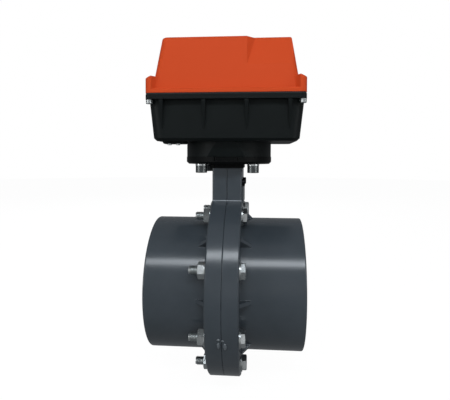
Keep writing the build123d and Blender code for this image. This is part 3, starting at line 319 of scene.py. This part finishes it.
# %% [markdown]
# ## Worked metal
# Stainless fasteners are cold-formed: bright, slightly cloudy, with fine drawn lines.
# Gears and turned parts have closer lines from cutting. Metals have no colour of their
# own under the shine, so the shader is fully metallic and the lines are mostly a change
# in roughness, with a little bump. A noise is stretched along Z to make the lines, and
# left unstretched where the surface is only speckled.

# %% The worked metal finish
LINES_UP = (1, 1, 12)
SPECKLE = (1, 1, 1)
METAL_CLOUD = 6


def worked_metal(name, light, dark, roughness, spread, line_mm, depth, stretch=LINES_UP):
    """Stretch says how many times longer the lines are than wide, along X, Y and Z."""
    material, shader = finish(name, Metallic=1.0)
    place = add_node(material, "ShaderNodeTexCoord").outputs["Object"]
    lengthen = add_node(material, "ShaderNodeMapping", {
        "Vector": place, "Scale": [1 / s for s in stretch]})
    lines = add_node(material, "ShaderNodeTexNoise", {
        "Vector": lengthen.outputs["Vector"], "Scale": per_mm(line_mm), "Detail": 4.0,
        "Roughness": 0.65})
    cloud = add_node(material, "ShaderNodeTexNoise", {
        "Vector": place, "Scale": per_mm(METAL_CLOUD), "Detail": 4.0, "Roughness": 0.6})
    tone = add_node(material, "ShaderNodeMix", {
        "Factor": cloud.outputs["Fac"], MIX_A: (*linear(dark), 1), MIX_B: (*linear(light), 1)},
        data_type="RGBA")
    dull = add_node(material, "ShaderNodeMapRange", {
        "Value": lines.outputs["Fac"], "From Min": NOISE_LOW, "From Max": NOISE_HIGH,
        "To Min": roughness - spread, "To Max": roughness + spread})
    bump = add_node(material, "ShaderNodeBump", {
        "Height": lines.outputs["Fac"], "Strength": 0.4, "Distance": depth * MM})
    links = material.node_tree.links
    links.new(tone.outputs[MIX_RESULT], shader.inputs["Base Color"])
    links.new(dull.outputs["Result"], shader.inputs["Roughness"])
    links.new(bump.outputs["Normal"], shader.inputs["Normal"])
    return material


# Cold-formed heads and nuts are bright. The knurled screws under the plate get a darker grey, a
# painted shade for the actuator that stands over them.
stainless = worked_metal(
    "stainless_a2_cold_formed", "D2D6D6", "B9BDBD", roughness=0.3, spread=0.06, line_mm=0.5,
    depth=0.006)
knurled_painted_shade = worked_metal(
    "stainless_a2_knurled_painted_shade", "8E9292", "6A6E6E", roughness=0.34, spread=0.06, line_mm=0.5,
    depth=0.01)
# Cut steel is grey and lined, and sintered bronze is open-grained with no lines.
gear_steel = worked_metal(
    "steel_hobbed_and_oiled", "8F8F8C", "7A7A78", roughness=0.32, spread=0.08, line_mm=0.4,
    depth=0.02)
bronze = worked_metal(
    "sintered_bronze", "A9834A", "8F6D3B", roughness=0.42, spread=0.08, line_mm=0.5, depth=0.03,
    stretch=SPECKLE)
# Zinc plate has a faint spangle, and black oxide a soft dark sheen.
zinc = worked_metal(
    "zinc_plated_sheet", "B5B8B9", "9EA2A4", roughness=0.36, spread=0.08, line_mm=1.2, depth=0.01,
    stretch=SPECKLE)
aluminium = worked_metal(
    "aluminium_turned", "D2D3D4", "C0C1C3", roughness=0.3, spread=0.07, line_mm=0.4, depth=0.015)
black_oxide = worked_metal(
    "steel_black_oxide", "2C2C2E", "222224", roughness=0.42, spread=0.08, line_mm=0.6, depth=0.02)
print("metals:", [m.name for m in (stainless, knurled_painted_shade, gear_steel, bronze, zinc, aluminium,
                                   black_oxide)])

# %% [markdown]
# ## Clear window and circuit board
# The window over the position dial is clear polycarbonate, so it transmits light with an
# index of 1.58, and handling has dulled it unevenly. The board is green lacquer over
# glass cloth: two crossed sets of bands stand for the weave. Real cloth has a thread
# about every half millimetre, and it is drawn six times coarser, so that it shows.

# %% The window and board finishes
# A wave texture repeats every 2 pi / 20 of its unit, so this scale gives a band every 3.1 mm.
WEAVE_SCALE = 100
WINDOW_CLOUD = 9
WINDOW_SMOOTH, WINDOW_DULL = 0.03, 0.1
window_clear, window_shader = finish(
    "polycarbonate_moulded_clear", Base_Color=(*linear("EEF3F2"), 1), IOR=1.58,
    Transmission_Weight=1.0)
window_wear = add_node(window_clear, "ShaderNodeTexNoise", {
    "Vector": add_node(window_clear, "ShaderNodeTexCoord").outputs["Object"],
    "Scale": per_mm(WINDOW_CLOUD), "Detail": 5.0})
window_dull = add_node(window_clear, "ShaderNodeMapRange", {
    "Value": window_wear.outputs["Fac"], "From Min": NOISE_LOW, "From Max": NOISE_HIGH,
    "To Min": WINDOW_SMOOTH, "To Max": WINDOW_DULL})
window_clear.node_tree.links.new(window_dull.outputs["Result"], window_shader.inputs["Roughness"])
board_green, board_shader = finish("lacquered_laminate_green", Roughness=0.25, Coat_Weight=0.4)
board_place = add_node(board_green, "ShaderNodeTexCoord").outputs["Object"]
weave_x = add_node(board_green, "ShaderNodeTexWave", {
    "Vector": board_place, "Scale": WEAVE_SCALE, "Distortion": 0.4}, bands_direction="X")
weave_y = add_node(board_green, "ShaderNodeTexWave", {
    "Vector": board_place, "Scale": WEAVE_SCALE, "Distortion": 0.4}, bands_direction="Y")
weave = add_node(board_green, "ShaderNodeMath", {
    0: weave_x.outputs["Fac"], 1: weave_y.outputs["Fac"]}, operation="MULTIPLY")
board_tone = add_node(board_green, "ShaderNodeMix", {
    "Factor": weave.outputs[0], MIX_A: (*linear("14482A"), 1), MIX_B: (*linear("1F6A3C"), 1)},
    data_type="RGBA")
board_green.node_tree.links.new(board_tone.outputs[MIX_RESULT], board_shader.inputs["Base Color"])
print("clear and board finishes made")

# %% [markdown]
# ## Dressing the engineering parts
# The record names a material slot for every part. Each slot gets its finish here, so no
# part is left with the plain colour that it was packed with.

# %% Give each slot its finish
FINISHES = {
    "upvc_grey": pvc_grey, "epdm_black": epdm_black, "stainless": stainless,
    "acetal_white": pom_white, "black_screw": black_oxide, "plate_black": pa_plate,
    "housing_black": pa_black, "cover_orange": abs_orange, "clear_window": window_clear,
    "gear_steel": gear_steel, "bronze": bronze, "motor_zinc": zinc,
    "turned_aluminium": aluminium, "moulded_black": abs_small_black,
    "cam_nylon": nylon_natural, "dial_yellow": dial_yellow, "board_green": board_green}
for part in frame["record"]["subparts"]:
    mesh = nodes[part["node"]].data
    mesh.materials.clear()
    mesh.materials.append(FINISHES[part["material_slot"]])

# %% [markdown]
# ## Turning meshes into pieces
# Each new fastener is drawn once, upright round the Z axis, then copied to its places as one
# piece. The helper `finished` closes the work: it recalculates the outward normals, marks edges
# sharper than 25 degrees as hard, gives the piece its finish, sets it on the body that it rides
# on, and hides the engineering parts that it stands for.

# %% Piece helpers
HARD_EDGE = 25


def finished(name, bm, material, body, slot, *stands_for):
    """Turns a bmesh into a smooth-shaded piece that rides on a body."""
    bmesh.ops.recalc_face_normals(bm, faces=bm.faces)
    piece = bpy.data.objects.new(name, bpy.data.meshes.new(name))
    bm.to_mesh(piece.data)
    bm.free()
    for polygon in piece.data.polygons:
        polygon.use_smooth = True
    piece.data.set_sharp_from_angle(angle=math.radians(HARD_EDGE))
    piece.data.materials.append(material)
    scene.collection.objects.link(piece)
    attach(piece, body)
    if stands_for:
        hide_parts(*stands_for)
    print(name, len(piece.data.polygons), "faces")


def fasteners(name, pattern, places, material, slot, node):
    """Copies one fastener to each place, as one piece that stands for the node."""
    mesh = bpy.data.meshes.new("pattern")
    pattern.to_mesh(mesh)
    pattern.free()
    copies = bmesh.new()
    for place in places:
        before = len(copies.verts)
        copies.from_mesh(mesh)
        copies.verts.ensure_lookup_table()
        bmesh.ops.transform(copies, matrix=place, verts=copies.verts[before:])
    bpy.data.meshes.remove(mesh)
    finished(name, copies, material, "housing", slot, node)


print("edges sharper than", HARD_EDGE, "degrees stay hard")

# %% [markdown]
# ## Hexagon heads and nuts
# A forged hexagon is a six-sided bar whose corners are turned off at 30 degrees, which
# leaves the curved lines where flat meets chamfer. Here a six-sided cylinder is cut by
# planes that lie on that 30 degree cone, three at each corner, and each cut is closed.

# %% Hexagon with turned corners
CHAMFER = math.radians(30)
# The flat end's radius, as a share of the width across the flats.
END_FACE = 0.47
CUTS_AT_CORNER = (-14, 0, 14)


def hexagon(flats, low, high, ends):
    """A hexagon from low to high; ends lists the chamfered ones, -1 low and 1 high."""
    bm = bmesh.new()
    middle = Matrix.Translation((0, 0, (low + high) / 2))
    corner_r = flats / math.sqrt(3)
    bmesh.ops.create_cone(bm, cap_ends=True, segments=6, radius1=corner_r, radius2=corner_r,
                          depth=high - low, matrix=middle)
    for z, up in [(low, -1), (high, 1)]:
        if up not in ends:
            continue
        for corner in range(6):
            for step in CUTS_AT_CORNER:
                turn = math.radians(60 * corner + step)
                out = Vector((math.cos(turn), math.sin(turn), 0))
                rim = out * END_FACE * flats + Vector((0, 0, z))
                slope = out * math.sin(CHAMFER) + Vector((0, 0, up * math.cos(CHAMFER)))
                cut = bmesh.ops.bisect_plane(
                    bm, geom=bm.verts[:] + bm.edges[:] + bm.faces[:], plane_co=rim,
                    plane_no=slope, clear_outer=True, dist=1e-7)["geom_cut"]
                edges = [e for e in cut if isinstance(e, bmesh.types.BMEdge)]
                if edges:
                    bmesh.ops.edgeloop_fill(bm, edges=edges)
    return bm


print("a hexagon's corner stands", round(1 / math.sqrt(3), 3), "of its flats from the middle")

# %% [markdown]
# ## Screw threads
# A metric thread is a 60 degree ridge wound round a core. M12 rises 1.75 mm each turn.
# Spinning one small triangle round the axis, with a little lift at every step, winds the
# ridge, just as a lathe would cut it. The triangle's foot is sunk in the core and a
# little wide, so that the two stay joined and the ridges nearly meet.

# %% Threaded shank
# Depth of the thread and half the width of its ridge, as shares of the pitch.
THREAD_DEPTH = 0.61
RIDGE_HALF = 0.46
RIDGE_SUNK = 0.1 * MM
STEPS_A_TURN = 20
END_CHAMFER = 0.6 * MM


def threaded_shank(bm, radius, pitch, low, high, thread_low, thread_high):
    """Adds a rod with a chamfered low end and a thread over part of its length."""
    core = radius - THREAD_DEPTH * pitch
    middle = Matrix.Translation((0, 0, (low + high) / 2))
    rod = bmesh.ops.create_cone(bm, cap_ends=True, segments=32, radius1=core, radius2=core,
                                depth=high - low, matrix=middle)["verts"]
    end = [e for e in bm.edges if all(v in rod for v in e.verts)
           and all(abs(v.co.z - low) < 1e-7 for v in e.verts)]
    bmesh.ops.bevel(bm, geom=end, offset=END_CHAMFER, affect="EDGES", segments=2, profile=0.5,
                    material=-1)
    turns = (thread_high - thread_low) / pitch
    steps = round(turns * STEPS_A_TURN)
    foot = core - RIDGE_SUNK
    points = [(foot, -RIDGE_HALF * pitch), (radius, 0), (foot, RIDGE_HALF * pitch)]
    ridge = [bm.verts.new((r, 0, thread_low + z)) for r, z in points]
    face = bm.faces.new(ridge)
    bmesh.ops.spin(bm, geom=[face], cent=(0, 0, 0), axis=(0, 0, 1), angle=turns * 2 * math.pi,
                   dvec=(0, 0, (thread_high - thread_low) / steps), steps=steps)


print("thread depth:", THREAD_DEPTH, "of the pitch")

# %% [markdown]
# ## The eight bolts round the ring
# The two halves are clamped by eight M12 bolts, with their heads on the outlet side and
# nuts and bare thread on the inlet side. A bolt and a nut are each drawn once along Z, at
# their own stations along the pipe, then laid along X and copied round the bolt circle.
# The circle comes from the washers, which the engineering model already holds. Each
# fastener is turned a little further than the last, as a spanner leaves them.

# %% Body bolts and nuts
BOLTS = 8
HEAD_FLATS = 19 * MM
HEAD_HEIGHT = 6 * MM
# A turned collar under the head, half of it inside the hexagon.
COLLAR_R = 8.6 * MM
COLLAR = 0.6 * MM
NUT_HEIGHT = 8.5 * MM
WASHER_R = 12 * MM
M12_R = 6 * MM
M12_PITCH = 1.75 * MM
# The shank runs into the head, and the thread stops short of the tip and past the washer.
INTO_HEAD = 1 * MM
PLAIN_TIP = 1.6 * MM
PAST_WASHER = 2 * MM
BOLT_TURN_EACH = 17
NUT_TURN_EACH = 23
washer_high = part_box("head_washers")[1]
nut_side_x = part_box("nut_washers")[0].x
bolt_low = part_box("body_bolts")[0].x
half_pitch = math.radians(180 / BOLTS)
bolt_circle = (washer_high.y - WASHER_R) / math.cos(half_pitch)
along_pipe = Matrix.Rotation(math.radians(90), 4, "Y")


def round_the_ring(turn_each):
    """Matrices of the bolt holes, each fastener turned a little further, in degrees."""
    for number in range(BOLTS):
        angle = math.radians(360 / BOLTS * number) + half_pitch
        place = (0, bolt_circle * math.cos(angle), bolt_circle * math.sin(angle))
        turn = Matrix.Rotation(math.radians(turn_each * number), 4, "Z")
        yield Matrix.Translation(place) @ along_pipe @ turn


face_x = washer_high.x
collar_at = Matrix.Translation((0, 0, face_x + COLLAR / 2))
bolt = hexagon(HEAD_FLATS, face_x + COLLAR / 2, face_x + HEAD_HEIGHT, (1,))
bmesh.ops.create_cone(bolt, cap_ends=True, segments=40, radius1=COLLAR_R, radius2=COLLAR_R,
                      depth=COLLAR, matrix=collar_at)
threaded_shank(bolt, M12_R, M12_PITCH, bolt_low, face_x + INTO_HEAD,
               bolt_low + PLAIN_TIP, nut_side_x + PAST_WASHER)
fasteners("ring_bolts", bolt, round_the_ring(BOLT_TURN_EACH), stainless, "stainless",
          "body_bolts")
nut = hexagon(HEAD_FLATS, nut_side_x - NUT_HEIGHT, nut_side_x, (-1, 1))
fasteners("ring_nuts", nut, round_the_ring(NUT_TURN_EACH), stainless, "stainless",
          "body_nuts")
print("bolt circle", round(bolt_circle / MM, 1), "mm")

# %% [markdown]
# ## Socket-head screws
# The screws under the mounting plate have round heads with a hexagon socket, and their
# sides are knurled for fingers. The head is drawn from its top: a hexagon whose sides are
# cut in twelve is bridged to a circle of as many points, the hexagon is sunk to make the
# socket, and the circle goes down for the side. Every second side strip is pushed in by
# 0.28 mm, which makes the knurl.

# %% Socket head
SIDE_PARTS = 12
HEAD_EDGE = 0.5 * MM
KNURL_GAP = 0.05 * MM
KNURL_DEPTH = 0.28 * MM


def socket_screw(head_r, head_height, socket_flats, socket_depth, shank_r, shank, knurl):
    """A screw with the underside of its head at Z = 0 and its shank below that."""
    bm = bmesh.new()
    lift = Matrix.Translation((0, 0, head_height))
    bmesh.ops.create_circle(bm, segments=6, radius=socket_flats / math.sqrt(3), matrix=lift)
    bmesh.ops.subdivide_edges(bm, edges=bm.edges[:], cuts=SIDE_PARTS - 1)
    inner = bm.edges[:]
    bmesh.ops.create_circle(bm, segments=6 * SIDE_PARTS, radius=head_r - HEAD_EDGE, matrix=lift)
    outer = [e for e in bm.edges if e not in inner]
    bmesh.ops.bridge_loops(bm, edges=inner + outer)

    def extruded(edges, rise, widen):
        """Draws a ring of edges out by a rise and a widening, and returns the new ring."""
        grown = bmesh.ops.extrude_edge_only(bm, edges=edges)["geom"]
        verts = [g for g in grown if isinstance(g, bmesh.types.BMVert)]
        bmesh.ops.scale(bm, vec=(widen, widen, 1), verts=verts)
        bmesh.ops.translate(bm, vec=(0, 0, rise), verts=verts)
        return [g for g in grown if isinstance(g, bmesh.types.BMEdge)]

    bottom = extruded(inner, -socket_depth, 1)
    bmesh.ops.edgeloop_fill(bm, edges=bottom)
    rim = extruded(outer, -HEAD_EDGE, head_r / (head_r - HEAD_EDGE))
    before = set(bm.faces)
    low = extruded(rim, HEAD_EDGE - head_height, 1)
    strips = [f for f in bm.faces if f not in before]
    under = extruded(low, 0, shank_r / head_r)
    tip = extruded(under, -shank, 1)
    bmesh.ops.edgeloop_fill(bm, edges=tip)
    if knurl:
        strips.sort(key=lambda f: math.atan2(f.calc_center_median().y, f.calc_center_median().x))
        bmesh.ops.recalc_face_normals(bm, faces=bm.faces)
        bmesh.ops.inset_individual(bm, faces=strips[::2], thickness=KNURL_GAP,
                                   depth=-KNURL_DEPTH)
    return bm


print("points round a screw head:", 6 * SIDE_PARTS)

# %% [markdown]
# ## The small screws
# Four M10 screws hold the mounting plate, four M5 screws the cover, two M3 screws the
# hand-drive cap and two M6 screws clamp the neck. Each kind is drawn once from its head,
# socket and shank sizes. Its places come from the box of the engineering part that it
# stands for: a screw lies one head radius in from the box's sides.

# %% Screws under the plate and the cover
PLATE_HEAD_R = 8 * MM
COVER_HEAD_R = 4.25 * MM
COVER_HEAD = 5.5 * MM
head_down = Matrix.Rotation(math.radians(180), 4, "X")


def corner_places(node, radius, head_z):
    """Head-down places at the corners of a node's box, a radius in from its sides."""
    low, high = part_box(node)
    for x in (low.x + radius, high.x - radius):
        for y in (low.y + radius, high.y - radius):
            yield Matrix.Translation((x, y, head_z)) @ head_down


screw = socket_screw(head_r=PLATE_HEAD_R, head_height=10 * MM, socket_flats=8 * MM,
                     socket_depth=5 * MM, shank_r=5 * MM, shank=24 * MM, knurl=True)
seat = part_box("flange_spring_washers")[0].z
# These screws take the darker knurled finish: painted shade under the actuator.
fasteners("plate_flange_screws", screw, corner_places("flange_screws", PLATE_HEAD_R, seat),
          knurled_painted_shade, "stainless", "flange_screws")

screw = socket_screw(head_r=COVER_HEAD_R, head_height=COVER_HEAD, socket_flats=4 * MM,
                     socket_depth=2.5 * MM, shank_r=2.5 * MM, shank=21 * MM, knurl=True)
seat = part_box("cover_screws")[0].z + COVER_HEAD
fasteners("cover_corner_screws", screw, corner_places("cover_screws", COVER_HEAD_R, seat),
          stainless, "stainless", "cover_screws")

# %% Screws of the hand-drive cap and the neck
CAP_HEAD_R = 2.8 * MM
CAP_HEAD = 1.8 * MM
NECK_HEAD_R = 5 * MM
NECK_HEAD = 4 * MM

low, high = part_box("override_cap_screws")
places = [Matrix.Translation((x, (low.y + high.y) / 2, low.z + CAP_HEAD)) @ head_down
          for x in (low.x + CAP_HEAD_R, high.x - CAP_HEAD_R)]
screw = socket_screw(head_r=CAP_HEAD_R, head_height=CAP_HEAD, socket_flats=2 * MM,
                     socket_depth=1.2 * MM, shank_r=1.5 * MM, shank=7.5 * MM, knurl=False)
fasteners("cap_screws", screw, places, stainless, "stainless", "override_cap_screws")

low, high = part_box("neck_screws")
places = [Matrix.Translation((high.x - NECK_HEAD, y, (low.z + high.z) / 2)) @ along_pipe
          for y in (low.y + NECK_HEAD_R, high.y - NECK_HEAD_R)]
screw = socket_screw(head_r=NECK_HEAD_R, head_height=NECK_HEAD, socket_flats=5 * MM,
                     socket_depth=2.6 * MM, shank_r=3 * MM, shank=35 * MM, knurl=True)
fasteners("neck_clamp_screws", screw, places, black_oxide, "black_screw", "neck_screws")

# %% [markdown]
# ## Marks on the ring
# Below the middle of the clamping ring, each half carries a small oval boss with a dot
# over it, left by the mould. Each is a sphere, squashed and half sunk in the ring's rim.

# %% Mould bosses
ring_r = -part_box("inlet_body_half")[0].z
bosses = bmesh.new()
# Millimetres across the ring, degrees below its middle, and the half sizes in millimetres
# along X, outwards and along Z. The two ovals come first, then their dots.
MARKS = [(-3.6, 20.2, (2.0, 2.4, 4.8)), (4.4, 20.8, (2.3, 2.2, 5.0)),
         (-3.4, 16.3, (2.2, 1.4, 1.5)), (1.6, 16.9, (1.8, 1.3, 1.3))]
for x, drop, half in MARKS:
    flat = Matrix.Diagonal((*(h * MM for h in half), 1))
    place = Matrix.Translation((x * MM, -ring_r, 0))
    turn = Matrix.Rotation(math.radians(drop), 4, "X")
    bmesh.ops.create_uvsphere(bosses, u_segments=24, v_segments=12, radius=1,
                              matrix=turn @ place @ flat)
# The bosses' paler grey is a painted highlight on the raised nubs.
finished("ring_mould_bosses", bosses, pvc_boss_painted_highlight, "housing", "upvc_grey")
print("ring radius", round(ring_r / MM, 1), "mm")

# %% [markdown]
# ## The highlight bead on the shoulder
# Where the flat face of the neck meets the round rim of the clamping ring, the rounded edge
# catches the light from above as a thin bright line. It is drawn as a thin rod, half sunk in the
# corner, and the mirror of it lies on the other side of the neck. The rod is drawn in a paler
# grey than the body, as a painted highlight along the corner.

# %% Bead along the shoulder
NECK_FACE = 37 * MM
BEAD_R = 0.9 * MM
BEAD_OUT = 0.4 * MM
BEAD_LENGTH = 40.4 * MM
BEAD_EDGE = 0.3 * MM
shoulder_z = math.sqrt(ring_r ** 2 - NECK_FACE ** 2)
beads = bmesh.new()
place = Matrix.Translation((0, -NECK_FACE - BEAD_OUT, shoulder_z + BEAD_OUT))
bmesh.ops.create_cone(beads, cap_ends=True, segments=20, radius1=BEAD_R, radius2=BEAD_R,
                      depth=BEAD_LENGTH, matrix=place @ along_pipe)
ends = [e for e in beads.edges if abs(e.verts[0].co.x - e.verts[1].co.x) < 1e-6]
bmesh.ops.bevel(beads, geom=ends, offset=BEAD_EDGE, affect="EDGES", segments=2, profile=0.5,
                material=-1)
bmesh.ops.mirror(beads, geom=beads.verts[:] + beads.edges[:] + beads.faces[:], axis="Y",
                 matrix=Matrix(), merge_dist=-1)
# The rod's paler grey is a painted highlight along the lit corner.
finished("shoulder_bead_painted_highlight", beads, pvc_bead_painted_highlight, "housing", "upvc_grey")
print("shoulder at", round(shoulder_z / MM, 1), "mm")

# %% [markdown]
# ## The pointer under the window
# The dial turns with the stem, and a plain black bar across it shows which way the disc
# lies. It is a thin slab with bevelled edges that rides on the valve's drive.

# %% Dial pointer
POINTER_WIDTH = 6 * MM
POINTER_LENGTH = 34 * MM
POINTER_THICK = 0.6 * MM
POINTER_EDGE = 0.15 * MM
dial_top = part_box("indicator_disc")[1].z
bar = bmesh.new()
size = Matrix.Diagonal((POINTER_WIDTH, POINTER_LENGTH, POINTER_THICK, 1))
place = Matrix.Translation((0, 0, dial_top + POINTER_THICK / 2))
bmesh.ops.create_cube(bar, size=1, matrix=place @ size)
bmesh.ops.bevel(bar, geom=bar.edges[:], offset=POINTER_EDGE, affect="EDGES", segments=2,
                profile=0.5, material=-1)
finished("dial_pointer", bar, abs_small_black, "valve_drive", "moulded_black")

# %% [markdown]
# ## A glow for the bright metal
# Bare steel has no colour of its own and shows only what it mirrors, so in a dark studio
# it turns black. A large weak panel behind the camera gives it something pale to mirror.
# Light linking lets only the parts in the bright stainless finish receive it, so that the
# plastics keep their depth. The screws under the plate have the darker knurled finish, its grey a
# painted shade from the actuator over them, so the loop passes over them.

# %% Panel for the stainless pieces
steel_pieces = bpy.data.collections.new("stainless_pieces")
for piece in scene.objects:
    if piece.type == "MESH" and stainless.name in piece.data.materials:
        steel_pieces.objects.link(piece)
steel_glow = softbox("steel_glow", (-0.1, -1.5, 0.1), (0, 0, 0.05), width=1.5, height=1.3,
                     power=2.6)
steel_glow.light_linking.receiver_collection = steel_pieces
